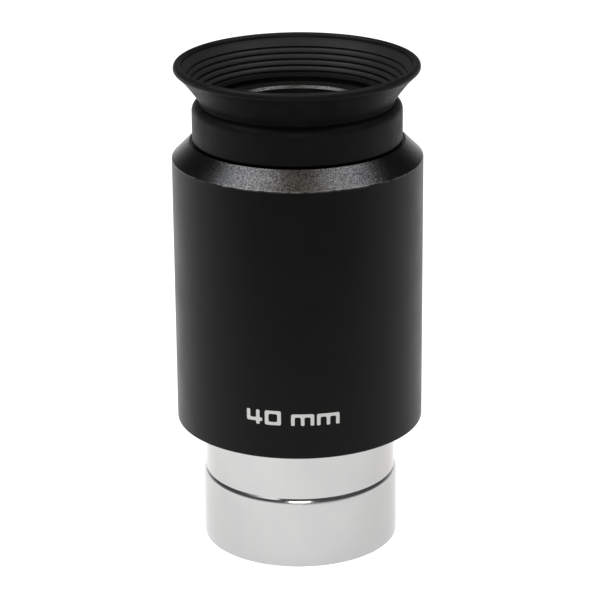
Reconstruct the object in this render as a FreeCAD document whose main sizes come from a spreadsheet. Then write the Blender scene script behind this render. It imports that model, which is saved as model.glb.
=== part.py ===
"""Push-fit telescope eyepiece: barrel, casing, lens cell with two cemented doublets, and a folding eyecup.

Z runs up the optical axis, from the barrel's open end at Z = 0 towards the eye. Sizes are in millimetres.
"""
import FreeCAD
import Part
import Sketcher
import math
import os

doc = FreeCAD.newDocument("Eyepiece")

# Driving sizes. Every one can be changed by itself.
sizes = {
    # barrel: the standard push fit, with a long shallow undercut for the focuser's locking screw
    "barrel_radius": 15.875,
    "barrel_length": 20.7,
    "full_length": 11.25,
    "undercut_depth": 0.4,
    "undercut_taper": 0.55,
    "undercut_round": 1.2,
    "barrel_edge": 0.2,
    "filter_wall": 1.625,
    "filter_depth": 4.2,
    "filter_edge": 0.3,
    "spigot_step": 0.475,
    "spigot_length": 5.1,
    "spigot_wall": 1.1,
    "thread_clearance": 0.05,
    # field stop: a washer with a knife-edged hole
    "stop_thickness": 0.8,
    "stop_overhang": 0.4,
    "stop_land": 0.15,
    # casing
    "casing_height": 44.0,
    "casing_edge": 0.2,
    "seat_recess": 0.5,
    "bevel_width": 2.85,
    "bevel_height": 2.8,
    "land_width": 0.45,
    "ledge_width": 0.6,
    # lens cell: screws into the casing from above and carries the eyecup on its boss
    "boss_height": 5.3,
    "cell_wall": 1.95,
    "cell_clearance": 0.05,
    "cell_edge": 0.15,
    "lip_thickness": 1.0,
    "lip_width": 1.25,
    "lip_chamfer": 0.4,
    "groove_start": 1.6,
    "groove_width": 1.8,
    "groove_depth": 0.5,
    # lenses: two alike doublets with their crowns facing each other
    "lens_radius": 13.0,
    "lens_clearance": 0.05,
    "cement_curve": 45.5,
    "crown_curve": 32.9,
    "crown_edge": 2.0,
    "flint_thickness": 2.0,
    "lens_gap": 0.8,
    "spacer_wall": 0.8,
    # field retaining ring
    "ring_thickness": 3.0,
    "ring_step": 0.45,
    "ring_cover": 1.2,
    "ring_recess": 0.5,
    "slot_width": 1.6,
    "slot_depth": 1.0,
    # rubber eyecup
    "cup_clearance": 0.1,
    "cup_wall": 1.6,
    "cup_edge": 0.3,
    "cup_lip": 0.5,
    "cup_rise": 0.5,
    "shoulder_round": 1.3,
    "flare_inset": 1.1,
    "flare_wall": 0.9,
    "flare_height": 4.3,
    "flare_spread": 2.8,
    "rim_wall": 1.35,
    "rim_height": 1.75,
    "rim_overhang": 1.1,
    "rim_round": 0.45,
    "rim_gap": 0.02,
}

# Radii and heights that follow from the driving sizes.
places = {
    "neck_radius": "Sizes.barrel_radius - Sizes.undercut_depth",
    "neck_start": "Sizes.full_length + Sizes.undercut_taper",
    "spigot_radius": "neck_radius - Sizes.spigot_step",
    "barrel_bore": "spigot_radius - Sizes.spigot_wall",
    "filter_bore": "Sizes.barrel_radius - Sizes.filter_wall",
    "seat": "Sizes.barrel_length",
    "neck_top": "seat + Sizes.seat_recess",
    "spigot_top": "neck_top + Sizes.spigot_length",
    "stop_top": "spigot_top + Sizes.stop_thickness",
    "stop_radius": "spigot_radius - Sizes.thread_clearance",
    "stop_hole": "barrel_bore - Sizes.stop_overhang",
    "stop_bevel": "stop_hole + Sizes.stop_thickness - Sizes.stop_land",
    "stop_knife": "spigot_top + Sizes.stop_land",
    "shoulder_top": "seat + Sizes.casing_height",
    "casing_top": "shoulder_top + Sizes.bevel_height",
    "cell_top": "casing_top + Sizes.boss_height",
    "crown_sag": "Sizes.crown_curve - sqrt(Sizes.crown_curve ^ 2 - Sizes.lens_radius ^ 2)",
    "cement_sag": "Sizes.cement_curve - sqrt(Sizes.cement_curve ^ 2 - Sizes.lens_radius ^ 2)",
    "crown_thickness": "Sizes.crown_edge + crown_sag + cement_sag",
    "lens_top": "cell_top - Sizes.lip_thickness",
    "eye_cement": "lens_top - Sizes.flint_thickness",
    "eye_vertex": "eye_cement - crown_thickness",
    "field_vertex": "eye_vertex - Sizes.lens_gap",
    "field_cement": "field_vertex - crown_thickness",
    "lens_bottom": "field_cement - Sizes.flint_thickness",
    "ring_bottom": "lens_bottom - Sizes.ring_thickness",
    "cell_bottom": "ring_bottom - Sizes.ring_recess",
    "lens_bore": "Sizes.lens_radius + Sizes.lens_clearance",
    "lip_radius": "lens_bore - Sizes.lip_width",
    "lip_mouth": "lip_radius + Sizes.lip_chamfer",
    "lip_edge": "cell_top - Sizes.lip_chamfer",
    "cell_radius": "lens_bore + Sizes.cell_wall",
    "groove_radius": "cell_radius - Sizes.groove_depth",
    "groove_low": "casing_top + Sizes.groove_start",
    "groove_high": "groove_low + Sizes.groove_width",
    "ring_radius": "lens_bore + Sizes.ring_step",
    "ring_hole": "Sizes.lens_radius - Sizes.ring_cover",
    "ring_thread": "ring_radius + Sizes.thread_clearance",
    "spacer_hole": "Sizes.lens_radius - Sizes.spacer_wall",
    "crown_dip": "Sizes.crown_curve - sqrt(Sizes.crown_curve ^ 2 - spacer_hole ^ 2)",
    "spacer_low": "field_vertex - crown_dip",
    "spacer_high": "eye_vertex + crown_dip",
    "casing_thread": "spigot_radius + Sizes.thread_clearance",
    "recess_radius": "neck_radius + Sizes.thread_clearance",
    "cell_bore": "cell_radius + Sizes.cell_clearance",
    "chamber_radius": "min(cell_radius; spigot_radius) - Sizes.ledge_width",
    "sleeve_radius": "cell_radius + Sizes.cup_clearance",
    "collar_radius": "sleeve_radius + Sizes.cup_wall",
    "land_radius": "collar_radius + Sizes.land_width",
    "casing_radius": "land_radius + Sizes.bevel_width",
    "bead_radius": "groove_radius + Sizes.cup_clearance",
    "bead_low": "groove_low + Sizes.cup_clearance",
    "bead_high": "groove_high - Sizes.cup_clearance",
    "cup_bottom": "casing_top + Sizes.cup_clearance",
    "cup_lip_bottom": "cell_top + Sizes.cup_clearance",
    "cup_lip_radius": "cell_radius - Sizes.cup_lip",
    "cup_lip_top": "cup_lip_bottom + Sizes.cup_lip",
    "collar_top": "cup_lip_top + Sizes.cup_rise",
    "root_radius": "collar_radius - Sizes.flare_inset",
    "root_hole": "root_radius - Sizes.flare_wall",
    "flare_top": "collar_top + Sizes.flare_height",
    "flare_radius": "root_radius + Sizes.flare_spread",
    "flare_hole": "flare_radius - Sizes.rim_wall",
    "rim_bottom": "flare_top + Sizes.rim_gap",
    "rim_belly": "rim_bottom + Sizes.rim_overhang",
    "rim_top": "flare_top + Sizes.rim_height",
    "rim_radius": "flare_radius + Sizes.rim_overhang",
    "rim_hole": "rim_radius - Sizes.rim_wall",
}

sheet = doc.addObject("Spreadsheet::Sheet", "Sizes")
for row, (alias, size) in enumerate(sizes.items(), 1):
    sheet.set(f"A{row}", alias)
    sheet.set(f"B{row}", str(size))
    sheet.setAlias(f"B{row}", alias)
doc.recompute()

derived = doc.addObject("App::VarSet", "Places")
for name, formula in places.items():
    derived.addProperty("App::PropertyFloat", name)
    derived.setExpression(name, formula)
doc.recompute()


def bound(name):
    """The expression that stands for a named size or place."""
    return ("Sizes." if name in sizes else "Places.") + name


def number(name):
    """The present value of a named size or place."""
    return getattr(sheet if name in sizes else derived, name)


def make_body(label):
    body = doc.addObject("PartDesign::Body", "".join(word.title() for word in label.split("_")))
    body.Label = label
    return body


def origin_plane(body, role):
    return next(plane for plane in body.Origin.OriginFeatures if plane.Role == role)


def make_sketch(body, name, role):
    sketch = body.newObject("Sketcher::SketchObject", name)
    sketch.AttachmentSupport = (origin_plane(body, role), [""])
    sketch.MapMode = "FlatFace"
    return sketch


def bind(sketch, kind, where, name):
    """Adds a dimension from the sketch's origin, or of a curve, and ties it to a named value."""
    index = sketch.addConstraint(Sketcher.Constraint(kind, *where, number(name)))
    label = f"{kind}_{index}"
    sketch.renameConstraint(index, label)
    sketch.setExpression("Constraints." + label, bound(name))


def place_point(sketch, curve, end, radius, height):
    """Holds one point at a named radius and a named height, either of which may be None for zero."""
    for kind, axis, name in (("DistanceX", -2, radius), ("DistanceY", -1, height)):
        if name is None:
            sketch.addConstraint(Sketcher.Constraint("PointOnObject", curve, end, axis))
        else:
            bind(sketch, kind, (-1, 1, curve, end), name)


def revolve(body, sketch):
    turned = body.newObject("PartDesign::Revolution", sketch.Name + "Turned")
    turned.Profile = sketch
    turned.ReferenceAxis = (sketch, ["V_Axis"])
    turned.Angle = 360
    return turned


def turned_part(label, corners):
    """A turned body. A corner of its section is (radius, height) or (radius, height, rounding), by name."""
    body = make_body(label)
    sketch = make_sketch(body, body.Name + "Section", "XZ_Plane")
    points = [FreeCAD.Vector(number(c[0]), number(c[1]) if c[1] else 0, 0) for c in corners]
    count = len(corners)
    starts, ends = [], []
    for i, corner in enumerate(corners):
        here = points[i]
        to_last = (points[i - 1] - here).normalize()
        to_next = (points[(i + 1) % count] - here).normalize()
        setback = 0
        if len(corner) == 3:
            setback = number(corner[2]) / math.tan(to_last.getAngle(to_next) / 2)
        ends.append(here + to_last * setback)
        starts.append(here + to_next * setback)
    lines = []
    for i in range(count):
        lines.append(sketch.addGeometry(Part.LineSegment(starts[i], ends[(i + 1) % count])))
    for i, corner in enumerate(corners):
        before, after = lines[i - 1], lines[i]
        if len(corner) == 2:
            sketch.addConstraint(Sketcher.Constraint("Coincident", before, 2, after, 1))
            place_point(sketch, after, 1, corner[0], corner[1])
            continue
        along_before = ends[i] - points[i - 1]
        along_after = points[(i + 1) % count] - starts[i]
        turns_left = along_before.cross(along_after).z > 0
        across = FreeCAD.Vector(-along_before.y, along_before.x, 0).normalize()
        radius = number(corner[2])
        centre = ends[i] + across * (radius if turns_left else -radius)
        first, last = (ends[i], starts[i]) if turns_left else (starts[i], ends[i])
        angles = [math.atan2(p.y - centre.y, p.x - centre.x) for p in (first, last)]
        if angles[1] < angles[0]:
            angles[1] += 2 * math.pi
        circle = Part.Circle(centre, FreeCAD.Vector(0, 0, 1), radius)
        arc = sketch.addGeometry(Part.ArcOfCircle(circle, *angles))
        entry, leaving = (1, 2) if turns_left else (2, 1)
        sketch.addConstraint(Sketcher.Constraint("Tangent", before, 2, arc, entry))
        sketch.addConstraint(Sketcher.Constraint("Tangent", arc, leaving, after, 1))
        bind(sketch, "Radius", (arc,), corner[2])
        apex = sketch.addGeometry(Part.Point(points[i]), True)
        sketch.addConstraint(Sketcher.Constraint("PointOnObject", apex, 1, before))
        sketch.addConstraint(Sketcher.Constraint("PointOnObject", apex, 1, after))
        place_point(sketch, apex, 1, corner[0], corner[1])
    revolve(body, sketch)
    return body


def lens_face(sketch, vertex, curve, bends):
    """One face of a lens, from the axis to its edge: bends is 1 if it rises, -1 if it falls, 0 if it is flat.

    It returns the curve and the ends that lie on the axis and at the edge."""
    low, edge = number(vertex), number("lens_radius")
    if bends == 0:
        flat = Part.LineSegment(FreeCAD.Vector(0, low, 0), FreeCAD.Vector(edge, low, 0))
        line = sketch.addGeometry(flat)
        sketch.addConstraint(Sketcher.Constraint("Horizontal", line))
        place_point(sketch, line, 1, None, vertex)
        return line, 1, 2
    radius = number(curve)
    centre = FreeCAD.Vector(0, low + bends * radius, 0)
    spread = math.asin(edge / radius)
    middle = -bends * math.pi / 2
    span = (middle, middle + spread) if bends > 0 else (middle - spread, middle)
    circle = Part.Circle(centre, FreeCAD.Vector(0, 0, 1), radius)
    arc = sketch.addGeometry(Part.ArcOfCircle(circle, *span))
    on_axis, on_edge = (1, 2) if bends > 0 else (2, 1)
    sketch.addConstraint(Sketcher.Constraint("PointOnObject", arc, 3, -2))
    place_point(sketch, arc, on_axis, None, vertex)
    bind(sketch, "Radius", (arc,), curve)
    return arc, on_axis, on_edge


def lens_part(label, lower, upper):
    """A lens between two faces, each given as (vertex height, curve, bends)."""
    body = make_body(label)
    sketch = make_sketch(body, body.Name + "Section", "XZ_Plane")
    low, low_axis, low_edge = lens_face(sketch, *lower)
    high, high_axis, high_edge = lens_face(sketch, *upper)
    axis_ends = [FreeCAD.Vector(0, number(face[0]), 0) for face in (lower, upper)]
    axis = sketch.addGeometry(Part.LineSegment(*axis_ends))
    sketch.addConstraint(Sketcher.Constraint("Coincident", axis, 1, low, low_axis))
    sketch.addConstraint(Sketcher.Constraint("Coincident", axis, 2, high, high_axis))
    edge_ends = [sketch.getPoint(low, low_edge), sketch.getPoint(high, high_edge)]
    edge = sketch.addGeometry(Part.LineSegment(*edge_ends))
    sketch.addConstraint(Sketcher.Constraint("Coincident", edge, 1, low, low_edge))
    sketch.addConstraint(Sketcher.Constraint("Coincident", edge, 2, high, high_edge))
    sketch.addConstraint(Sketcher.Constraint("Vertical", edge))
    bind(sketch, "DistanceX", (-1, 1, edge, 1), "lens_radius")
    revolve(body, sketch)
    return body


def cut_spanner_slots(ring):
    """Two slots across the ring's lower face, for a spanner."""
    sketch = make_sketch(ring, ring.Name + "Slots", "XY_Plane")
    sketch.setExpression("AttachmentOffset.Base.z", bound("ring_bottom"))
    reach, half = number("ring_thread"), number("slot_width") / 2
    places_round = ((-reach, -half), (reach, -half), (reach, half), (-reach, half))
    corners = [FreeCAD.Vector(x, y, 0) for x, y in places_round]
    sides = [sketch.addGeometry(Part.LineSegment(corners[i], corners[(i + 1) % 4])) for i in range(4)]
    for i in range(4):
        sketch.addConstraint(Sketcher.Constraint("Coincident", sides[i], 2, sides[(i + 1) % 4], 1))
        sketch.addConstraint(Sketcher.Constraint(("Horizontal", "Vertical")[i % 2], sides[i]))
    sketch.addConstraint(Sketcher.Constraint("Symmetric", sides[0], 1, sides[1], 2, -1, 1))
    bind(sketch, "DistanceX", (-1, 1, sides[1], 1), "ring_thread")
    bind(sketch, "DistanceY", (sides[1], 1, sides[1], 2), "slot_width")
    slots = ring.newObject("PartDesign::Pocket", ring.Name + "SlotCut")
    slots.Profile = sketch
    slots.setExpression("Length", bound("slot_depth"))
    slots.Reversed = True
    return slots


turned_part("barrel", [
    ("barrel_radius", None, "barrel_edge"),
    ("barrel_radius", "full_length", "undercut_round"),
    ("neck_radius", "neck_start"),
    ("neck_radius", "neck_top"),
    ("spigot_radius", "neck_top"),
    ("spigot_radius", "spigot_top"),
    ("barrel_bore", "spigot_top"),
    ("barrel_bore", "filter_depth"),
    ("filter_bore", "filter_depth"),
    ("filter_bore", None, "filter_edge"),
])

turned_part("field_stop", [
    ("stop_hole", "spigot_top"),
    ("stop_radius", "spigot_top"),
    ("stop_radius", "stop_top"),
    ("stop_bevel", "stop_top"),
    ("stop_hole", "stop_knife"),
])

turned_part("casing", [
    ("casing_thread", "neck_top"),
    ("recess_radius", "neck_top"),
    ("recess_radius", "seat"),
    ("casing_radius", "seat", "casing_edge"),
    ("casing_radius", "shoulder_top", "casing_edge"),
    ("land_radius", "casing_top", "casing_edge"),
    ("cell_bore", "casing_top"),
    ("cell_bore", "cell_bottom"),
    ("chamber_radius", "cell_bottom"),
    ("chamber_radius", "stop_top"),
    ("casing_thread", "stop_top"),
])

turned_part("lens_cell", [
    ("cell_radius", "cell_bottom", "cell_edge"),
    ("cell_radius", "groove_low"),
    ("groove_radius", "groove_low"),
    ("groove_radius", "groove_high"),
    ("cell_radius", "groove_high"),
    ("cell_radius", "cell_top", "cell_edge"),
    ("lip_mouth", "cell_top"),
    ("lip_radius", "lip_edge"),
    ("lip_radius", "lens_top"),
    ("lens_bore", "lens_top"),
    ("lens_bore", "lens_bottom"),
    ("ring_thread", "lens_bottom"),
    ("ring_thread", "cell_bottom"),
])

# Each cemented pair shares one curved face, and the two crowns bulge towards each other.
field_cemented = ("field_cement", "cement_curve", 1)
eye_cemented = ("eye_cement", "cement_curve", -1)
lens_part("field_flint", ("lens_bottom", None, 0), field_cemented)
lens_part("field_crown", field_cemented, ("field_vertex", "crown_curve", -1))
lens_part("eye_crown", ("eye_vertex", "crown_curve", 1), eye_cemented)
lens_part("eye_flint", eye_cemented, ("lens_top", None, 0))

turned_part("lens_spacer", [
    ("spacer_hole", "spacer_low"),
    ("lens_radius", "spacer_low"),
    ("lens_radius", "spacer_high"),
    ("spacer_hole", "spacer_high"),
])

field_ring = turned_part("field_retaining_ring", [
    ("ring_hole", "ring_bottom"),
    ("ring_radius", "ring_bottom"),
    ("ring_radius", "lens_bottom"),
    ("ring_hole", "lens_bottom"),
])
doc.recompute()
whole_ring_volume = field_ring.Shape.Volume
cut_spanner_slots(field_ring)

# The rubber eyecup is one moulding, split where its wall starts to fold and where its rim stays round.
turned_part("eyecup_collar", [
    ("sleeve_radius", "cup_bottom"),
    ("collar_radius", "cup_bottom", "cup_edge"),
    ("collar_radius", "collar_top", "shoulder_round"),
    ("root_hole", "collar_top"),
    ("cup_lip_radius", "cup_lip_top"),
    ("cup_lip_radius", "cup_lip_bottom"),
    ("sleeve_radius", "cup_lip_bottom"),
    ("sleeve_radius", "bead_high"),
    ("bead_radius", "bead_high"),
    ("bead_radius", "bead_low"),
    ("sleeve_radius", "bead_low"),
])

turned_part("eyecup_flare", [
    ("root_hole", "collar_top"),
    ("root_radius", "collar_top"),
    ("flare_radius", "flare_top"),
    ("flare_hole", "flare_top"),
])

turned_part("eyecup_rim", [
    ("flare_hole", "rim_bottom"),
    ("flare_radius", "rim_bottom"),
    ("rim_radius", "rim_belly", "cup_edge"),
    ("rim_radius", "rim_top", "rim_round"),
    ("rim_hole", "rim_top", "rim_round"),
])

doc.recompute()

bodies = [item for item in doc.Objects if item.TypeId == "PartDesign::Body"]
faults = [item.Label for item in doc.Objects if {"Invalid", "Error"} & set(item.State)]
faults += [body.Label for body in bodies if body.Shape.isNull() or not body.Shape.isValid()]
faults += [body.Label for body in bodies if len(body.Shape.Solids) != 1]
sketches = [item for item in doc.Objects if item.TypeId == "Sketcher::SketchObject"]
loose = [sketch.Label for sketch in sketches if not sketch.FullyConstrained]
if faults or loose:
    raise RuntimeError(f"failed pieces: {faults}, sketches that can still move: {loose}")
if field_ring.Shape.Volume >= whole_ring_volume:
    raise RuntimeError("the spanner slots cut nothing")

os.makedirs("parts", exist_ok=True)
for body in bodies:
    body.Shape.exportStep(f"parts/{body.Label}.step")
    box = body.Shape.optimalBoundingBox(False)
    print(f"{body.Label}: radius {box.XMax:.3f}, Z {box.ZMin:.3f} to {box.ZMax:.3f}")
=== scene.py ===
import bmesh
import bpy
import math
from mathutils import Matrix, Vector


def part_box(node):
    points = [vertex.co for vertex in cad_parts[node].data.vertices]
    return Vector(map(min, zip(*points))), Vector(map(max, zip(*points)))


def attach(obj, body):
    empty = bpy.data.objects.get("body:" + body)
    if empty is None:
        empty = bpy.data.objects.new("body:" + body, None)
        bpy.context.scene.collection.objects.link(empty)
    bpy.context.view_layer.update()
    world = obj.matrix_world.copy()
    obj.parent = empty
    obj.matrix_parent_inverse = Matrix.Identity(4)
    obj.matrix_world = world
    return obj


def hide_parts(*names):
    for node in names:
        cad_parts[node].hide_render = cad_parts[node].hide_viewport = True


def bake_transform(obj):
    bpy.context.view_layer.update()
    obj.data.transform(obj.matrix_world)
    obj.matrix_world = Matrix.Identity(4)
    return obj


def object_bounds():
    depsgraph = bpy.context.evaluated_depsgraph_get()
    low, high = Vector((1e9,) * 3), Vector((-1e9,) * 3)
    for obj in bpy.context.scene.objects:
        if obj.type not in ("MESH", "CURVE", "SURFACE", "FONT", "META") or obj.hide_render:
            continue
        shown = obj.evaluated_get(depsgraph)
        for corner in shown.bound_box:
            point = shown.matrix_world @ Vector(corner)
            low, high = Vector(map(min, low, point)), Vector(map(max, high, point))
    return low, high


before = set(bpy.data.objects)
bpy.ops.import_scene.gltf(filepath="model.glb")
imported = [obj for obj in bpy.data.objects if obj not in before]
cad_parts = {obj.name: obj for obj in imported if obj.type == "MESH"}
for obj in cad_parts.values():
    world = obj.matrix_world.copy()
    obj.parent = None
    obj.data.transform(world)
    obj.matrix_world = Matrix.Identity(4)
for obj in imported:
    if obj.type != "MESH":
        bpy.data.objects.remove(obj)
cadLow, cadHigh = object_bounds()
mm = 0.001


# Small helpers for shader trees

def plug(tree, socket, value):
    if isinstance(value, bpy.types.NodeSocket):
        tree.links.new(value, socket)
    else:
        socket.default_value = value


def calc(tree, operation, first, second=0.0):
    node = tree.nodes.new("ShaderNodeMath")
    node.operation = operation
    plug(tree, node.inputs[0], first)
    plug(tree, node.inputs[1], second)
    return node.outputs[0]


def hypotenuse(tree, first, second):
    squares = [calc(tree, "MULTIPLY", side, side) for side in (first, second)]
    return calc(tree, "SQRT", calc(tree, "ADD", squares[0], squares[1]))


def ramp(tree, value, start, end, low=0.0, high=1.0):  # smooth climb from low to high
    node = tree.nodes.new("ShaderNodeMapRange")
    node.interpolation_type = "SMOOTHSTEP"
    for socket, item in zip(node.inputs, (value, start, end, low, high)):
        plug(tree, socket, item)
    return node.outputs[0]


def blendColour(tree, amount, first, second):
    node = tree.nodes.new("ShaderNodeMix")
    node.data_type = "RGBA"
    plug(tree, node.inputs[0], amount)
    plug(tree, node.inputs[6], first)
    plug(tree, node.inputs[7], second)
    return node.outputs[2]


def blendValue(tree, amount, first, second):
    node = tree.nodes.new("ShaderNodeMix")
    plug(tree, node.inputs[0], amount)
    plug(tree, node.inputs[2], first)
    plug(tree, node.inputs[3], second)
    return node.outputs[0]


def grey(level, warmth=0.0):
    return (level * (1 + warmth), level, level * (1 - warmth), 1.0)


def bump(tree, height, distance, normal=None):
    node = tree.nodes.new("ShaderNodeBump")
    node.inputs["Distance"].default_value = distance
    tree.links.new(height, node.inputs["Height"])
    if normal is not None:
        tree.links.new(normal, node.inputs["Normal"])
    return node.outputs["Normal"]


def newGroup(name, inputs, outputs):
    group = bpy.data.node_groups.new(name, "ShaderNodeTree")
    for label, value in inputs.items():
        socket = group.interface.new_socket(label, in_out="INPUT", socket_type="NodeSocketFloat")
        socket.default_value = value
    for label in outputs:
        group.interface.new_socket(label, in_out="OUTPUT", socket_type="NodeSocketFloat")
    return group, group.nodes.new("NodeGroupInput").outputs, group.nodes.new("NodeGroupOutput").inputs


def useGroup(tree, group, **values):
    node = tree.nodes.new("ShaderNodeGroup")
    node.node_tree = group
    for label, value in values.items():
        plug(tree, node.inputs[label], value)
    return node.outputs


def newMaterial(name, **fixed):
    material = bpy.data.materials.new(name)
    material.use_nodes = True
    shader = material.node_tree.nodes["Principled BSDF"]
    for label, value in fixed.items():
        shader.inputs[label.replace("_", " ")].default_value = value
    return material, material.node_tree, shader.inputs


# Shared surface effects. All of them read the piece's own coordinates, in metres.
effects = {
    "lineDetail": 3.0, "grainDetail": 2.0, "patchDetail": 4.0,
    "patchFrom": 0.3, "patchTo": 0.7,        # range of the noise over which a patch fades in
    "wearPatch": 1.2 * mm,
}


def makeAxisPlace():  # distance from the optical axis, and height along it
    group, _, result = newGroup("axisPlace", {}, ["Radius", "Height"])
    place = group.nodes.new("ShaderNodeTexCoord").outputs["Object"]
    parts = group.nodes.new("ShaderNodeSeparateXYZ")
    group.links.new(place, parts.inputs[0])
    group.links.new(hypotenuse(group, parts.outputs["X"], parts.outputs["Y"]), result["Radius"])
    group.links.new(parts.outputs["Z"], result["Height"])
    return group


def makeTurnedLines():  # tool marks that run round the axis, on walls and end faces alike
    group, given, result = newGroup("turnedLines", {"Pitch": 0.0001}, ["Lines"])
    place = useGroup(group, axisPlace)
    along = calc(group, "ADD", place["Radius"], place["Height"])
    noise = group.nodes.new("ShaderNodeTexNoise")
    noise.noise_dimensions = "1D"
    noise.inputs["Scale"].default_value = 1.0
    noise.inputs["Detail"].default_value = effects["lineDetail"]
    group.links.new(calc(group, "DIVIDE", along, given["Pitch"]), noise.inputs["W"])
    group.links.new(noise.outputs["Fac"], result["Lines"])
    return group


def makeBlastedGrain():  # small facets left by bead blasting
    group, given, result = newGroup("blastedGrain", {"Size": 0.0001}, ["Height", "Glint"])
    place = group.nodes.new("ShaderNodeTexCoord").outputs["Object"]
    perMetre = calc(group, "DIVIDE", 1.0, given["Size"])
    facets = group.nodes.new("ShaderNodeTexVoronoi")
    group.links.new(place, facets.inputs["Vector"])
    group.links.new(perMetre, facets.inputs["Scale"])
    noise = group.nodes.new("ShaderNodeTexNoise")
    noise.inputs["Detail"].default_value = effects["grainDetail"]
    group.links.new(place, noise.inputs["Vector"])
    group.links.new(perMetre, noise.inputs["Scale"])
    parts = group.nodes.new("ShaderNodeSeparateColor")
    group.links.new(facets.outputs["Color"], parts.inputs[0])
    group.links.new(noise.outputs["Fac"], result["Height"])
    group.links.new(parts.outputs[0], result["Glint"])
    return group


def makeSoftPatches():  # slow, cloudy change from place to place
    group, given, result = newGroup("softPatches", {"Size": 0.005}, ["Value"])
    place = group.nodes.new("ShaderNodeTexCoord").outputs["Object"]
    noise = group.nodes.new("ShaderNodeTexNoise")
    noise.inputs["Detail"].default_value = effects["patchDetail"]
    group.links.new(place, noise.inputs["Vector"])
    group.links.new(calc(group, "DIVIDE", 1.0, given["Size"]), noise.inputs["Scale"])
    cloud = ramp(group, noise.outputs["Fac"], effects["patchFrom"], effects["patchTo"])
    group.links.new(cloud, result["Value"])
    return group


def makeDustSpecks():  # a few small round specks, one at most in each cell
    inputs = {"Spacing": 0.002, "Speck": 0.0001, "Share": 0.1}
    group, given, result = newGroup("dustSpecks", inputs, ["Mask"])
    place = group.nodes.new("ShaderNodeTexCoord").outputs["Object"]
    cells = group.nodes.new("ShaderNodeTexVoronoi")
    group.links.new(place, cells.inputs["Vector"])
    group.links.new(calc(group, "DIVIDE", 1.0, given["Spacing"]), cells.inputs["Scale"])
    parts = group.nodes.new("ShaderNodeSeparateColor")
    group.links.new(cells.outputs["Color"], parts.inputs[0])
    chosen = calc(group, "LESS_THAN", parts.outputs[0], given["Share"])
    size = calc(group, "MULTIPLY", given["Speck"], parts.outputs[1])
    reach = calc(group, "DIVIDE", size, given["Spacing"])
    inside = calc(group, "LESS_THAN", cells.outputs["Distance"], reach)
    group.links.new(calc(group, "MULTIPLY", chosen, inside), result["Mask"])
    return group


def makeWornEdge():  # rubbed band along a round edge of given radius and height
    inputs = {"Edge Radius": 0.02, "Edge Height": 0.0, "Width": 0.0002}
    group, given, result = newGroup("wornEdge", inputs, ["Mask"])
    place = useGroup(group, axisPlace)
    outBy = calc(group, "SUBTRACT", place["Radius"], given["Edge Radius"])
    upBy = calc(group, "SUBTRACT", place["Height"], given["Edge Height"])
    away = calc(group, "DIVIDE", hypotenuse(group, outBy, upBy), given["Width"])
    near = calc(group, "SUBTRACT", 1.0, away)
    patches = useGroup(group, softPatches, Size=effects["wearPatch"])["Value"]
    rubbed = calc(group, "MULTIPLY", calc(group, "MAXIMUM", near, 0.0), patches)
    group.links.new(rubbed, result["Mask"])
    return group


axisPlace = makeAxisPlace()
turnedLines = makeTurnedLines()
blastedGrain = makeBlastedGrain()
softPatches = makeSoftPatches()
dustSpecks = makeDustSpecks()
wornEdge = makeWornEdge()
print("surface effects made")


# Finishes

dust = {"spacing": 2.4 * mm, "speck": 0.11 * mm, "share": 0.05, "tone": 0.35}


def addDust(tree, colour, share=dust["share"]):
    specks = useGroup(tree, dustSpecks, Spacing=dust["spacing"], Speck=dust["speck"], Share=share)["Mask"]
    return blendColour(tree, specks, colour, grey(dust["tone"]))


def wornMask(tree, radius, height, width):
    values = {"Edge Radius": radius, "Edge Height": height, "Width": width}
    return useGroup(tree, wornEdge, **values)["Mask"]


casingFinish = {
    "black": 0.0010, "blackWarmth": -0.03, "patchBlack": 0.0016, "patchWarmth": 0.04, "patchSize": 7 * mm,
    "gloss": 0.13, "roughness": 0.33, "patchRoughness": 0.38,
    "bevelHeight": 2.8 * mm, "bevelBlend": 0.03 * mm, "bevelDark": 0.007, "bevelBright": 0.047,
    "bevelRoughness": 0.27, "grainSize": 0.13 * mm, "grainDepth": 0.013 * mm, "skinSize": 0.06 * mm,
    "skinDepth": 0.002 * mm, "wearWidth": 0.22 * mm, "wearTone": 0.10, "wearWarmth": 0.05, "dustShare": 0.03,
}


def makeCasingFinish():
    f = casingFinish
    material, tree, shader = newMaterial("blackAnodisedCasing", Specular_IOR_Level=f["gloss"])
    low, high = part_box("casing")
    place = useGroup(tree, axisPlace)
    bevelFoot = high.z - f["bevelHeight"]
    bevel = ramp(tree, place["Height"], bevelFoot - f["bevelBlend"], bevelFoot + f["bevelBlend"])
    patches = useGroup(tree, softPatches, Size=f["patchSize"])["Value"]
    grain = useGroup(tree, blastedGrain, Size=f["grainSize"])
    skin = useGroup(tree, blastedGrain, Size=f["skinSize"])
    plain = grey(f["black"], f["blackWarmth"])
    body = blendColour(tree, patches, plain, grey(f["patchBlack"], f["patchWarmth"]))
    glitter = blendColour(tree, grain["Glint"], grey(f["bevelDark"]), grey(f["bevelBright"]))
    topWear = wornMask(tree, high.x, bevelFoot, f["wearWidth"])
    footWear = wornMask(tree, high.x, low.z, f["wearWidth"])
    worn = calc(tree, "MAXIMUM", topWear, footWear)
    colour = blendColour(tree, bevel, body, glitter)
    colour = blendColour(tree, worn, colour, grey(f["wearTone"], f["wearWarmth"]))
    plug(tree, shader["Base Color"], addDust(tree, colour, f["dustShare"]))
    plug(tree, shader["Metallic"], calc(tree, "MAXIMUM", bevel, worn))
    rough = blendValue(tree, patches, f["roughness"], f["patchRoughness"])
    plug(tree, shader["Roughness"], blendValue(tree, bevel, rough, f["bevelRoughness"]))
    fine = bump(tree, skin["Height"], f["skinDepth"])
    height = calc(tree, "MULTIPLY", grain["Height"], bevel)
    plug(tree, shader["Normal"], bump(tree, height, f["grainDepth"], fine))
    return material


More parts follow.
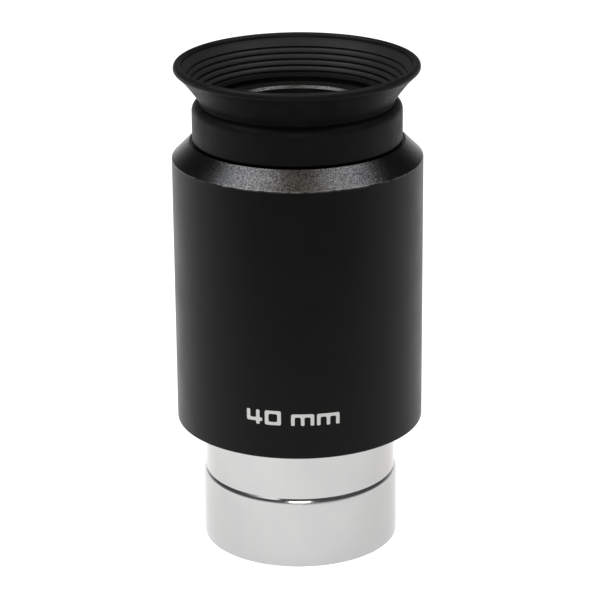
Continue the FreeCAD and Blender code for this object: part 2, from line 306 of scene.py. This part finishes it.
cellFinish = {
    "black": 0.003, "patchBlack": 0.005, "patchSize": 4 * mm, "gloss": 0.12, "roughness": 0.45,
    "linePitch": 0.09 * mm, "lineDepth": 0.004 * mm, "grainSize": 0.11 * mm, "grainDepth": 0.03 * mm,
    "ringTone": 0.055, "ringDark": 0.008, "ringRoughness": 0.3, "ringOuter": 12.25 * mm,
    "ringDepth": 0.42 * mm, "dustShare": 0.02,
}


def makeCellFinish():
    f = cellFinish
    material, tree, shader = newMaterial("blackLensCell", Specular_IOR_Level=f["gloss"])
    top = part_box("lens_cell")[1].z
    place = useGroup(tree, axisPlace)
    within = calc(tree, "LESS_THAN", place["Radius"], f["ringOuter"])
    upper = calc(tree, "GREATER_THAN", place["Height"], top - f["ringDepth"])
    ring = calc(tree, "MULTIPLY", within, upper)
    grain = useGroup(tree, blastedGrain, Size=f["grainSize"])
    lines = useGroup(tree, turnedLines, Pitch=f["linePitch"])["Lines"]
    patches = useGroup(tree, softPatches, Size=f["patchSize"])["Value"]
    body = blendColour(tree, patches, grey(f["black"]), grey(f["patchBlack"]))
    glitter = blendColour(tree, grain["Glint"], grey(f["ringDark"]), grey(f["ringTone"]))
    colour = blendColour(tree, ring, body, glitter)
    plug(tree, shader["Base Color"], addDust(tree, colour, f["dustShare"]))
    plug(tree, shader["Metallic"], ring)
    plug(tree, shader["Roughness"], blendValue(tree, ring, f["roughness"], f["ringRoughness"]))
    turned = bump(tree, lines, f["lineDepth"])
    height = calc(tree, "MULTIPLY", grain["Height"], ring)
    plug(tree, shader["Normal"], bump(tree, height, f["grainDepth"], turned))
    return material


barrelFinish = {
    "bright": 0.545, "dull": 0.525, "warmth": 0.004, "patchSize": 6 * mm,
    "roughness": 0.13, "dullRoughness": 0.17,
    "linePitch": 0.16 * mm, "lineDepth": 0.0010 * mm, "lineShare": 0.12, "lineTone": 0.40,
    "platedWall": 1.4 * mm, "boreBlack": 0.012, "boreRoughness": 0.55,
    "wearWidth": 0.3 * mm, "wearShare": 0.5, "wearTone": 0.45, "dustShare": 0.01,
}


def makeBarrelFinish():
    f = barrelFinish
    material, tree, shader = newMaterial("satinPlatedBarrel")
    low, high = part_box("barrel")
    place = useGroup(tree, axisPlace)
    patches = useGroup(tree, softPatches, Size=f["patchSize"])["Value"]
    lines = useGroup(tree, turnedLines, Pitch=f["linePitch"])["Lines"]
    plating = blendColour(tree, patches, grey(f["bright"], f["warmth"]), grey(f["dull"], -f["warmth"]))
    marks = calc(tree, "MULTIPLY", lines, f["lineShare"])
    plating = blendColour(tree, marks, plating, grey(f["lineTone"]))
    bore = calc(tree, "LESS_THAN", place["Radius"], high.x - f["platedWall"])
    mouth = calc(tree, "MULTIPLY", wornMask(tree, high.x, low.z, f["wearWidth"]), f["wearShare"])
    plating = blendColour(tree, mouth, plating, grey(f["wearTone"]))
    colour = blendColour(tree, bore, plating, grey(f["boreBlack"]))
    plug(tree, shader["Base Color"], addDust(tree, colour, f["dustShare"]))
    plug(tree, shader["Metallic"], calc(tree, "SUBTRACT", 1.0, bore))
    rough = blendValue(tree, patches, f["roughness"], f["dullRoughness"])
    plug(tree, shader["Roughness"], blendValue(tree, bore, rough, f["boreRoughness"]))
    plug(tree, shader["Normal"], bump(tree, lines, f["lineDepth"]))
    return material


innerFinish = {
    "black": 0.003, "edge": 0.007, "gloss": 0.2, "roughness": 0.6, "patchSize": 2.5 * mm,
    "linePitch": 0.12 * mm, "lineDepth": 0.004 * mm,
}


def makeInnerFinish():
    f = innerFinish
    material, tree, shader = newMaterial(
        "blackenedInnerMetal", Specular_IOR_Level=f["gloss"], Roughness=f["roughness"],
    )
    lines = useGroup(tree, turnedLines, Pitch=f["linePitch"])["Lines"]
    patches = useGroup(tree, softPatches, Size=f["patchSize"])["Value"]
    mixed = calc(tree, "MULTIPLY", patches, lines)
    colour = blendColour(tree, mixed, grey(f["black"]), grey(f["edge"]))
    plug(tree, shader["Base Color"], addDust(tree, colour))
    plug(tree, shader["Normal"], bump(tree, lines, f["lineDepth"]))
    return material


glassFinish = {
    "crown": {"ior": 1.517, "tint": (0.97, 1.0, 0.98, 1.0)},
    "flint": {"ior": 1.62, "tint": (0.98, 1.0, 0.96, 1.0)},
    "coating": (0.055, 0.12, 0.10, 1.0), "gloss": 0.05, "smear": 0.002,
    "patchSize": 5 * mm, "patchTone": 0.96, "dustShare": 0.01,
}


def makeGlassFinish(kind):
    f = glassFinish
    material, tree, shader = newMaterial(
        kind + "Glass", IOR=f[kind]["ior"], Transmission_Weight=1.0, Specular_Tint=f["coating"],
        Specular_IOR_Level=f["gloss"],
    )
    patches = useGroup(tree, softPatches, Size=f["patchSize"])["Value"]
    colour = blendColour(tree, patches, f[kind]["tint"], grey(f["patchTone"]))
    plug(tree, shader["Base Color"], addDust(tree, colour, f["dustShare"]))
    plug(tree, shader["Roughness"], calc(tree, "MULTIPLY", patches, f["smear"]))
    return material


rubberFinish = {
    "black": 0.0045, "blackWarmth": -0.02, "patchBlack": 0.006, "patchWarmth": 0.04, "patchSize": 3.5 * mm,
    "gloss": 0.07, "roughness": 0.42, "patchRoughness": 0.5,
    "paintedLitInside": 0.016, "insideRadius": 15.0 * mm, "insideLean": 0.71, "insideTop": 5.35 * mm,
    "grainSize": 0.12 * mm, "grainDepth": 0.006 * mm, "flowSize": 1.6 * mm, "flowDepth": 0.015 * mm,
}


def makeRubberFinish():
    f = rubberFinish
    material, tree, shader = newMaterial("mouldedBlackRubber", Specular_IOR_Level=f["gloss"])
    # painted light: the ribbed inside is painted a lighter grey than the outside, in place of the top light
    # that falls on the upward-facing ribs
    place = useGroup(tree, axisPlace)
    above = calc(tree, "SUBTRACT", place["Height"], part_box("eyecup_collar")[1].z)
    divide = calc(tree, "ADD", calc(tree, "MULTIPLY", above, f["insideLean"]), f["insideRadius"])
    below = calc(tree, "LESS_THAN", above, f["insideTop"])
    inside = calc(tree, "MULTIPLY", calc(tree, "LESS_THAN", place["Radius"], divide), below)
    grain = useGroup(tree, blastedGrain, Size=f["grainSize"])
    patches = useGroup(tree, softPatches, Size=f["patchSize"])["Value"]
    flow = useGroup(tree, softPatches, Size=f["flowSize"])["Value"]
    plain = grey(f["black"], f["blackWarmth"])
    colour = blendColour(tree, patches, plain, grey(f["patchBlack"], f["patchWarmth"]))
    # painted light: lighter grey on the ribbed inside
    colour = blendColour(tree, inside, colour, grey(f["paintedLitInside"]))
    plug(tree, shader["Base Color"], addDust(tree, colour))
    plug(tree, shader["Roughness"], blendValue(tree, patches, f["roughness"], f["patchRoughness"]))
    wavy = bump(tree, flow, f["flowDepth"])
    plug(tree, shader["Normal"], bump(tree, grain["Height"], f["grainDepth"], wavy))
    return material


inkFinish = {
    "white": 0.62, "thin": 0.5, "warmth": 0.01, "gloss": 0.2, "roughness": 0.55,
    "grainSize": 0.12 * mm, "grainDepth": 0.004 * mm,
}


def makeInkFinish():
    f = inkFinish
    material, tree, shader = newMaterial(
        "printedWhiteInk", Roughness=f["roughness"], Specular_IOR_Level=f["gloss"],
    )
    grain = useGroup(tree, blastedGrain, Size=f["grainSize"])
    white, thin = grey(f["white"], f["warmth"]), grey(f["thin"], f["warmth"])
    plug(tree, shader["Base Color"], blendColour(tree, grain["Height"], white, thin))
    plug(tree, shader["Normal"], bump(tree, grain["Height"], f["grainDepth"]))
    return material


casingBlack = makeCasingFinish()
cellBlack = makeCellFinish()
barrelBright = makeBarrelFinish()
innerBlack = makeInnerFinish()
crownGlass = makeGlassFinish("crown")
flintGlass = makeGlassFinish("flint")
rubberBlack = makeRubberFinish()
inkWhite = makeInkFinish()

nodeFinishes = {
    "barrel": barrelBright,
    "field_stop": innerBlack,
    "casing": casingBlack,
    "lens_cell": cellBlack,
    "field_retaining_ring": innerBlack,
    "field_flint": flintGlass,
    "field_crown": crownGlass,
    "lens_spacer": innerBlack,
    "eye_crown": crownGlass,
    "eye_flint": flintGlass,
    "eyecup_collar": rubberBlack,
    "eyecup_flare": rubberBlack,
    "eyecup_rim": rubberBlack,
}
for nodeName, finish in nodeFinishes.items():
    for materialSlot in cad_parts[nodeName].material_slots:
        materialSlot.material = finish
print("finishes put on", len(nodeFinishes), "nodes")


# Meshes
weldWithin = 0.0001 * mm  # points closer than this become one


def arc(centreRadius, centreHeight, size, start, end, steps):  # angles in degrees, 0 points outwards
    points = []
    for step in range(steps + 1):
        angle = math.radians(start + (end - start) * step / steps)
        points.append((centreRadius + size * math.cos(angle), centreHeight + size * math.sin(angle)))
    return points


def meshObject(name, shape, material, creaseAngle=35):
    mesh = bpy.data.meshes.new(name)
    bmesh.ops.recalc_face_normals(shape, faces=shape.faces)
    shape.to_mesh(mesh)
    shape.free()
    mesh.shade_smooth()
    mesh.set_sharp_from_angle(angle=math.radians(creaseAngle))
    mesh.materials.append(material)
    made = bpy.data.objects.new(name, mesh)
    bpy.context.scene.collection.objects.link(made)
    return made


def lathe(name, outline, steps, material):  # closed outline of (radius, height), turned about the axis
    shape = bmesh.new()
    rings = []
    for step in range(steps):
        angle = 2 * math.pi * step / steps
        side = Vector((math.cos(angle), math.sin(angle), 0))
        rings.append([shape.verts.new(side * radius + Vector((0, 0, height))) for radius, height in outline])
    count = len(outline)
    for step in range(steps):
        here, there = rings[step], rings[(step + 1) % steps]
        for point in range(count):
            follow = (point + 1) % count
            if outline[point][0] > 0 or outline[follow][0] > 0:
                shape.faces.new((here[point], there[point], there[follow], here[follow]))
    bmesh.ops.remove_doubles(shape, verts=shape.verts, dist=weldWithin)  # joins the points on the axis
    return meshObject(name, shape, material)


# Rubber cup: collar over the lens cell's boss, neck groove, flared skirt with a beaded rim, ribbed inside
rubberCup = {
    "steps": 224,
    "roundSteps": {"foot": 6, "shoulder": 14, "flare": 12, "swell": 7, "crown": 18, "lip": 3},
    "sleeveGap": 0.1 * mm,                   # between the boss and the rubber round it
    "footRound": 0.3 * mm,
    "shoulder": (1.34 * mm, 1.4 * mm),       # width and height of the rounded shoulder
    "shoulderDrop": 1.6 * mm,                # its start, below the collar's top
    "neckRadius": 15.5 * mm,
    "neckRise": 0.1 * mm,
    "flareFoot": (15.65 * mm, 0.45 * mm),    # radius, height above the collar's top
    "flareTop": (18.28 * mm, 3.95 * mm),
    "flareHollow": 0.09 * mm,
    "rimSwell": 0.5 * mm,
    "swellDrop": 0.72 * mm,                  # middle of the swell, below the rim's top
    "swellStart": -52,                       # in degrees
    "rimCrown": 0.62 * mm,
    "wallStep": (0.03 * mm, 0.1 * mm),       # inwards and down, from the crown to the wall
    "wallFoot": (14.98 * mm, 0.48 * mm),     # middle of the lowest groove
    "grooves": 5,
    "grooveWidth": 0.38 * mm,
    "grooveDepth": 0.36 * mm,
    "grooveFloor": 0.35,                     # share of its width at full depth
    "lastGrooveWidth": 0.5 * mm,
    "bandCrown": 0.05 * mm,
    "firstBand": 0.28,                       # share of the wall above the first groove
    "neckFoot": (14.78 * mm, -0.40 * mm),    # where the wall ends over the lip
    "lipRound": 0.08 * mm,
    "beadDrops": (2.0 * mm, 3.6 * mm),       # top and foot of the snap bead, below the boss's top
    "beadDepth": 0.4 * mm,
    "beadSlope": 0.2 * mm,
}


def flareOutline(c, collarTop):
    (footRadius, footRise), (topRadius, topRise) = c["flareFoot"], c["flareTop"]
    steps = c["roundSteps"]["flare"]
    points = []
    for step in range(steps + 1):
        share = step / steps
        hollow = c["flareHollow"] * math.sin(math.pi * share)
        radius = footRadius + (topRadius - footRadius) * share - hollow
        points.append((radius, collarTop + footRise + (topRise - footRise) * share))
    return points


def ribbedWall(c, top, foot):
    length = math.dist(top, foot)
    along = ((foot[0] - top[0]) / length, (foot[1] - top[1]) / length)
    outward = (-along[1], along[0])          # into the rubber

    def point(distance, depth):
        return tuple(top[axis] + along[axis] * distance + outward[axis] * depth for axis in (0, 1))

    first = length * c["firstBand"]
    pitch = (length - first) / (c["grooves"] - 1)
    points = [point(first * share, 0) for share in (0, 0.33, 0.66)]
    for groove in range(c["grooves"]):
        last = groove == c["grooves"] - 1
        half = (c["lastGrooveWidth"] if last else c["grooveWidth"]) / 2
        middle = first + groove * pitch
        points.append(point(middle - half, 0))
        points.append(point(middle - half * c["grooveFloor"], c["grooveDepth"]))
        points.append(point(middle + half * c["grooveFloor"], c["grooveDepth"]))
        points.append(point(middle + half, 0))
        if not last:
            for share in (0.25, 0.5, 0.75):
                rise = -c["bandCrown"] * math.sin(math.pi * share)
                points.append(point(middle + half + (pitch - 2 * half) * share, rise))
    return points


def makeRubberCup():
    c = rubberCup
    steps = c["roundSteps"]
    collarLow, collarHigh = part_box("eyecup_collar")
    rimLow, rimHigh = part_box("eyecup_rim")
    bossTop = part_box("lens_cell")[1].z
    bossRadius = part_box("lens_cell")[1].x
    collarRadius, collarTop, foot = collarHigh.x, collarHigh.z, collarLow.z
    rimRadius, rimTop = rimHigh.x, rimHigh.z
    sleeve = bossRadius + c["sleeveGap"]
    wide, tall = c["shoulder"]
    rootAngle = math.degrees(math.acos((c["neckRadius"] - collarRadius + wide) / wide))
    shoulderStart = collarTop - c["shoulderDrop"]
    outline = arc(collarRadius - c["footRound"], foot + c["footRound"], c["footRound"], -90, 0, steps["foot"])
    for radius, height in arc(collarRadius - wide, 0, wide, 0, rootAngle, steps["shoulder"]):
        outline.append((radius, shoulderStart + height * tall / wide))
    outline.append((c["neckRadius"], collarTop + c["neckRise"]))
    outline += flareOutline(c, collarTop)
    # the bead swells out from the skirt, then closes over the top to the inside edge
    swell, crown = c["rimSwell"], c["rimCrown"]
    outline += arc(rimRadius - swell, rimTop - c["swellDrop"], swell, c["swellStart"], 0, steps["swell"])
    outline += arc(rimRadius - crown, rimTop - crown, crown, 0, 180, steps["crown"])
    stepIn, stepDown = c["wallStep"]
    wallTop = (rimRadius - 2 * crown - stepIn, rimTop - crown - stepDown)
    wallFoot = (c["wallFoot"][0], collarTop + c["wallFoot"][1])
    outline += ribbedWall(c, wallTop, wallFoot)
    # neck band, ending in a thin lip over a dark gap
    neckRadius, neckBottom = c["neckFoot"][0], collarTop + c["neckFoot"][1]
    outline += [((wallFoot[0] + neckRadius) / 2, (wallFoot[1] + neckBottom) / 2)]
    lip = c["lipRound"]
    outline += arc(neckRadius + lip, neckBottom, lip, 180, 270, steps["lip"])
    outline.append((sleeve, neckBottom - lip))
    # snap bead inside the collar, in the boss's groove
    beadTop, beadFoot = bossTop - c["beadDrops"][0], bossTop - c["beadDrops"][1]
    beadRadius, slope = bossRadius - c["beadDepth"], c["beadSlope"]
    outline += [(sleeve, beadTop), (beadRadius, beadTop - slope), (beadRadius, beadFoot + slope)]
    outline += [(sleeve, beadFoot), (sleeve, foot)]
    cup = lathe("rubber_cup", outline, c["steps"], rubberBlack)
    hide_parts("eyecup_collar", "eyecup_flare", "eyecup_rim")
    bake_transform(cup)


makeRubberCup()
print("rubber cup made")


# Lenses with fine even rings, so that reflections and refraction stay smooth. Each flint's cemented face
# reaches a little into its crown: two faces in one place would give a torn picture.
lensShape = {"steps": 128, "rings": 24, "cementOverlap": 0.03 * mm, "near": 0.01 * mm}
lenses = {
    "field_flint": {"finish": flintGlass, "slot": "flint_glass", "flat": "low", "cemented": "high"},
    "field_crown": {"finish": crownGlass, "slot": "crown_glass", "flat": "", "cemented": ""},
    "eye_crown": {"finish": crownGlass, "slot": "crown_glass", "flat": "", "cemented": ""},
    "eye_flint": {"finish": flintGlass, "slot": "flint_glass", "flat": "high", "cemented": "low"},
}


def lensFace(centre, edge, radius, shift):  # part of a ball, from the axis outwards
    sag = centre - edge
    if abs(sag) < lensShape["near"]:
        return [(0.0, edge + shift), (radius, edge + shift)]
    ball = (radius ** 2 + sag ** 2) / (2 * sag)
    points = []
    for ring in range(lensShape["rings"] + 1):
        outBy = radius * ring / lensShape["rings"]
        rise = math.copysign(math.sqrt(ball ** 2 - outBy ** 2), ball)
        points.append((outBy, centre + shift - ball + rise))
    return points


def makeLens(name, c):
    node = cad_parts[name]
    spots = [node.matrix_world @ vert.co for vert in node.data.vertices]
    radius = max(spot.xy.length for spot in spots)
    axis = [spot.z for spot in spots if spot.xy.length < lensShape["near"]]
    rim = [spot.z for spot in spots if spot.xy.length > radius - lensShape["near"]]
    lowCentre = min(rim) if c["flat"] == "low" else min(axis)
    highCentre = max(rim) if c["flat"] == "high" else max(axis)
    overlap = lensShape["cementOverlap"]
    low = lensFace(lowCentre, min(rim), radius, -overlap if c["cemented"] == "low" else 0.0)
    high = lensFace(highCentre, max(rim), radius, overlap if c["cemented"] == "high" else 0.0)
    lens = lathe(name + "_glass", low + high[::-1], lensShape["steps"], c["finish"])
    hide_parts(name)
    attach(lens, "casing")


for lensName, lensValues in lenses.items():
    makeLens(lensName, lensValues)
print("lenses made:", len(lenses))


# Filter thread: one low ridge wound inside the barrel's mouth
filterThread = {
    "pitch": 0.6 * mm, "rootRadius": 14.3 * mm, "crestRadius": 13.98 * mm, "halfWidth": 0.25 * mm,
    "start": 0.55 * mm, "end": 3.75 * mm, "stepsPerTurn": 120, "runOut": 40,
    "rootSink": 0.01 * mm, "crestHalfWidth": 0.04 * mm, "crease": 30,
}


def makeFilterThread():
    c = filterThread
    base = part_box("barrel")[0].z
    root = c["rootRadius"] + c["rootSink"]
    turns = (c["end"] - c["start"]) / c["pitch"]
    steps = round(turns * c["stepsPerTurn"])
    shape = bmesh.new()
    sections = []
    for step in range(steps + 1):
        angle = 2 * math.pi * step / c["stepsPerTurn"]
        height = base + c["start"] + c["pitch"] * step / c["stepsPerTurn"]
        full = min(1.0, step / c["runOut"], (steps - step) / c["runOut"])
        crest = c["rootRadius"] - (c["rootRadius"] - c["crestRadius"]) * full
        side = Vector((math.cos(angle), math.sin(angle), 0))
        corners = (
            (root, height - c["halfWidth"]),
            (crest, height - c["crestHalfWidth"]),
            (crest, height + c["crestHalfWidth"]),
            (root, height + c["halfWidth"]),
        )
        sections.append([shape.verts.new(side * radius + Vector((0, 0, z))) for radius, z in corners])
    for here, there in zip(sections, sections[1:]):
        for corner in range(4):
            follow = (corner + 1) % 4
            shape.faces.new((here[corner], there[corner], there[follow], here[follow]))
    shape.faces.new(sections[0])
    shape.faces.new(reversed(sections[-1]))
    ridge = meshObject("filter_thread", shape, barrelBright, c["crease"])
    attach(ridge, "casing")


makeFilterThread()
print("filter thread made")


# Printed focal length in squared letters, wrapped round the casing's front
printedMark = {
    "words": "40 mm", "width": 14.9 * mm, "aboveCasingFoot": 5.7 * mm, "aside": -1.1 * mm,
    "letterGap": 0.42, "wordGap": 1.1, "corner": 0.3, "cornerShare": 0.3, "cornerSteps": 4,
    "joinWithin": 0.0001,                    # in letter units, like the gaps and corners above
    "inkThickness": 0.02 * mm, "sink": 0.03 * mm, "slice": 0.3 * mm, "crease": 30,
}

# Closed outlines in letter units: a stroke is 0.55 wide, a small letter 1.85 high and a figure 2.3 high
letterShapes = {
    "4": {"width": 2.45, "loops": [[
        (0, 2.3), (0, 0.5), (1.5, 0.5), (1.5, 0), (2.05, 0), (2.05, 0.5), (2.45, 0.5), (2.45, 1.02),
        (2.05, 1.02), (2.05, 2.3), (1.5, 2.3), (1.5, 1.02), (0.55, 1.02), (0.55, 2.3),
    ]]},
    "0": {"width": 2.5, "loops": [
        [(0, 0), (2.5, 0), (2.5, 2.3), (0, 2.3)],
        [(0.57, 0.5), (1.93, 0.5), (1.93, 1.8), (0.57, 1.8)],
    ]},
    "m": {"width": 3.5, "loops": [[
        (0, 0), (0.55, 0), (0.55, 1.35), (1.475, 1.35), (1.475, 0), (2.025, 0), (2.025, 1.35), (2.95, 1.35),
        (2.95, 0), (3.5, 0), (3.5, 1.85), (0, 1.85),
    ]]},
}


def roundCorners(loop, c):  # each corner becomes a short arc, no longer than its edges allow
    size, most, steps = c["corner"], c["cornerShare"], c["cornerSteps"]
    points = []
    for index, here in enumerate(loop):
        here = Vector(here)
        before, after = Vector(loop[index - 1]) - here, Vector(loop[(index + 1) % len(loop)]) - here
        reach = min(size, before.length * most, after.length * most)
        start, end = here + before.normalized() * reach, here + after.normalized() * reach
        for step in range(steps + 1):
            share = step / steps
            points.append(start * (1 - share) ** 2 + here * 2 * share * (1 - share) + end * share ** 2)
    return points


def makeFlatWords(c):  # solid letters lying flat, one unit deep
    words = bpy.data.curves.new("focalLengthWords", "CURVE")
    words.dimensions = "2D"
    words.fill_mode = "BOTH"
    words.extrude = 0.5
    pen = 0.0
    for letter in c["words"]:
        if letter == " ":
            pen += c["wordGap"]
            continue
        for loop in letterShapes[letter]["loops"]:
            points = roundCorners(loop, c)
            spline = words.splines.new("POLY")
            spline.points.add(len(points) - 1)
            for place, point in zip(spline.points, points):
                place.co = (pen + point.x, point.y, 0, 1)
            spline.use_cyclic_u = True
        pen += letterShapes[letter]["width"] + c["letterGap"]
    holder = bpy.data.objects.new("focalLengthWords", words)
    bpy.context.scene.collection.objects.link(holder)
    bpy.context.view_layer.update()
    flat = bpy.data.meshes.new_from_object(holder.evaluated_get(bpy.context.evaluated_depsgraph_get()))
    bpy.data.objects.remove(holder)
    return flat, pen - c["letterGap"]


def makePrintedMark():
    c = printedMark
    low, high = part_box("casing")
    flat, length = makeFlatWords(c)
    shape = bmesh.new()
    shape.from_mesh(flat)
    bmesh.ops.remove_doubles(shape, verts=shape.verts, dist=c["joinWithin"])
    unit = c["width"] / length
    cuts = int(c["width"] / c["slice"])
    for cut in range(1, cuts):               # upright slices, so that the letters follow the round wall
        place = Vector((cut * c["slice"] / unit, 0, 0))
        everything = shape.verts[:] + shape.edges[:] + shape.faces[:]
        bmesh.ops.bisect_plane(shape, geom=everything, plane_co=place, plane_no=Vector((1, 0, 0)))
    for vert in shape.verts:
        angle = ((vert.co.x - length / 2) * unit + c["aside"]) / high.x
        reach = high.x + (c["inkThickness"] if vert.co.z > 0 else -c["sink"])
        height = low.z + c["aboveCasingFoot"] + vert.co.y * unit
        vert.co = Vector((reach * math.sin(angle), -reach * math.cos(angle), height))
    mark = meshObject("focal_length_print", shape, inkWhite, c["crease"])
    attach(mark, "casing")


makePrintedMark()
print("printed focal length made")


# Stage: white table, two overhead softboxes with a gap between them, two weaker ones in front and at the
# left, and a dim room
table = {
    "reach": 3.0, "white": 0.25, "roughness": 0.9, "gloss": 0.1, "seenGlow": 0.96,
    "glowLeft": 0.95, "glowRight": 0.78, "turnFrom": -0.1, "turnTo": 0.04,
    "brightUpTo": -0.055, "dimBeyond": -0.18, "dimShare": 0.09, "shadedWithin": 14 * mm,
}


def makeTable():
    c = table
    mesh = bpy.data.meshes.new("whiteTable")
    reach, height = c["reach"], cadLow.z
    corners = ((-reach, -reach), (reach, -reach), (reach, reach), (-reach, reach))
    mesh.from_pydata([(x, y, height) for x, y in corners], [], [(0, 1, 2, 3)])
    material, tree, shader = newMaterial(
        "whiteTableTop", Roughness=c["roughness"], Specular_IOR_Level=c["gloss"],
    )
    shader["Base Color"].default_value = grey(c["white"])
    shader["Emission Strength"].default_value = 1.0
    # brightest round the eyepiece; the glow falls off far in front, and a little to the right
    spot = tree.nodes.new("ShaderNodeSeparateXYZ")
    tree.links.new(tree.nodes.new("ShaderNodeTexCoord").outputs["Object"], spot.inputs[0])
    aside = ramp(tree, spot.outputs["X"], c["turnFrom"], c["turnTo"], c["glowLeft"], c["glowRight"])
    ahead = ramp(tree, spot.outputs["Y"], c["dimBeyond"], c["brightUpTo"], c["dimShare"], 1.0)
    # painted shadow: looked at through the lenses, the patch that the barrel stands over is painted dark, in
    # place of the barrel's shade
    outside = ramp(tree, useGroup(tree, axisPlace)["Radius"], c["shadedWithin"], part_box("barrel")[1].x)
    path = tree.nodes.new("ShaderNodeLightPath").outputs
    shaded = blendValue(tree, path["Is Transmission Ray"], 1.0, outside)
    around = calc(tree, "MULTIPLY", calc(tree, "MULTIPLY", aside, ahead), shaded)
    glow = blendValue(tree, path["Is Camera Ray"], around, c["seenGlow"])
    tree.links.new(glow, shader["Emission Color"])
    clear = tree.nodes.new("ShaderNodeBsdfTransparent")  # the table can't be seen from underneath
    facing = tree.nodes.new("ShaderNodeNewGeometry")
    chooser = tree.nodes.new("ShaderNodeMixShader")
    tree.links.new(facing.outputs["Backfacing"], chooser.inputs[0])
    tree.links.new(tree.nodes["Principled BSDF"].outputs[0], chooser.inputs[1])
    tree.links.new(clear.outputs[0], chooser.inputs[2])
    tree.links.new(chooser.outputs[0], tree.nodes["Material Output"].inputs["Surface"])
    mesh.materials.append(material)
    top = bpy.data.objects.new("white_table", mesh)
    bpy.context.scene.collection.objects.link(top)


softboxes = {
    "left": {"towards": (-0.48, -0.10, 0.87), "size": (0.38, 0.40), "power": 4.4, "tint": (0.95, 0.97, 1.0)},
    "right": {"towards": (0.46, -0.10, 0.87), "size": (0.35, 0.38), "power": 3.2, "tint": (0.95, 0.97, 1.0)},
    "front": {"towards": (-0.02, -0.91, 0.39), "size": (0.30, 0.30), "power": 1.3, "tint": (1.0, 0.98, 0.93)},
    "low": {"towards": (-0.56, -0.41, 0.70), "size": (0.46, 0.18), "power": 0.36, "tint": (0.97, 0.98, 1.0)},
}
softboxDistance = 0.75


def makeSoftboxes():
    middle = (cadLow + cadHigh) / 2
    for side, c in softboxes.items():
        lamp = bpy.data.lights.new(side + "Softbox", "AREA")
        lamp.shape = "RECTANGLE"
        lamp.size, lamp.size_y = c["size"]
        lamp.energy = c["power"]
        lamp.color = c["tint"]
        holder = bpy.data.objects.new(side + "Softbox", lamp)
        towards = Vector(c["towards"]).normalized()
        holder.location = middle + towards * softboxDistance
        holder.rotation_euler = towards.to_track_quat("Z", "Y").to_euler()
        bpy.context.scene.collection.objects.link(holder)


room = {
    "horizon": 0.66, "horizonTop": 0.3, "middle": 0.08, "seen": 1.0,
    "overhead": 2.2, "overheadFrom": 0.84, "overheadTo": 0.97, "warm": (1.0, 0.85, 0.68, 1.0),
}


def makeRoom():
    world = bpy.data.worlds.new("studioRoom")
    world.use_nodes = True
    tree = world.node_tree
    around = tree.nodes.new("ShaderNodeTexCoord").outputs["Generated"]
    parts = tree.nodes.new("ShaderNodeSeparateXYZ")
    tree.links.new(around, parts.inputs[0])
    lowPart = ramp(tree, parts.outputs["Z"], 0.0, room["horizonTop"], room["horizon"], room["middle"])
    overhead = ramp(tree, parts.outputs["Z"], room["overheadFrom"], room["overheadTo"])
    glow = calc(tree, "ADD", lowPart, calc(tree, "MULTIPLY", overhead, room["overhead"]))
    direct = tree.nodes.new("ShaderNodeLightPath").outputs["Is Camera Ray"]
    tree.links.new(blendValue(tree, direct, glow, room["seen"]), tree.nodes["Background"].inputs["Strength"])
    unseen = blendColour(tree, overhead, grey(1.0), room["warm"])
    tree.links.new(blendColour(tree, direct, unseen, grey(1.0)), tree.nodes["Background"].inputs["Color"])
    bpy.context.scene.world = world


makeTable()
makeSoftboxes()
makeRoom()
bpy.context.scene.view_settings.view_transform = "Standard"
print("stage lit")


# Camera
viewpoint = {
    "elevation": 19.89, "roll": -0.48, "distance": 425.5 * mm, "aimAside": 0.19 * mm, "aimAbove": 0.17 * mm,
    "lens": 157.5, "sensor": 36.0, "nearest": 0.01,
}


def makeCamera():
    c = viewpoint
    lens = bpy.data.cameras.new("productCamera")
    lens.lens = c["lens"]
    lens.sensor_width = c["sensor"]
    lens.clip_start = c["nearest"]
    holder = bpy.data.objects.new("productCamera", lens)
    tilt, roll = math.radians(c["elevation"]), math.radians(c["roll"])
    back = Vector((0, -math.cos(tilt), math.sin(tilt)))
    right, up = Vector((1, 0, 0)), Vector((0, math.sin(tilt), math.cos(tilt)))
    across = right * math.cos(roll) + up * math.sin(roll)
    upwards = up * math.cos(roll) - right * math.sin(roll)
    aim = (cadLow + cadHigh) / 2 + Vector((c["aimAside"], 0, c["aimAbove"]))
    turn = Matrix((across, upwards, back)).transposed()
    holder.matrix_world = Matrix.Translation(aim + back * c["distance"]) @ turn.to_4x4()
    bpy.context.scene.collection.objects.link(holder)
    bpy.context.scene.camera = holder


makeCamera()
print("camera placed")
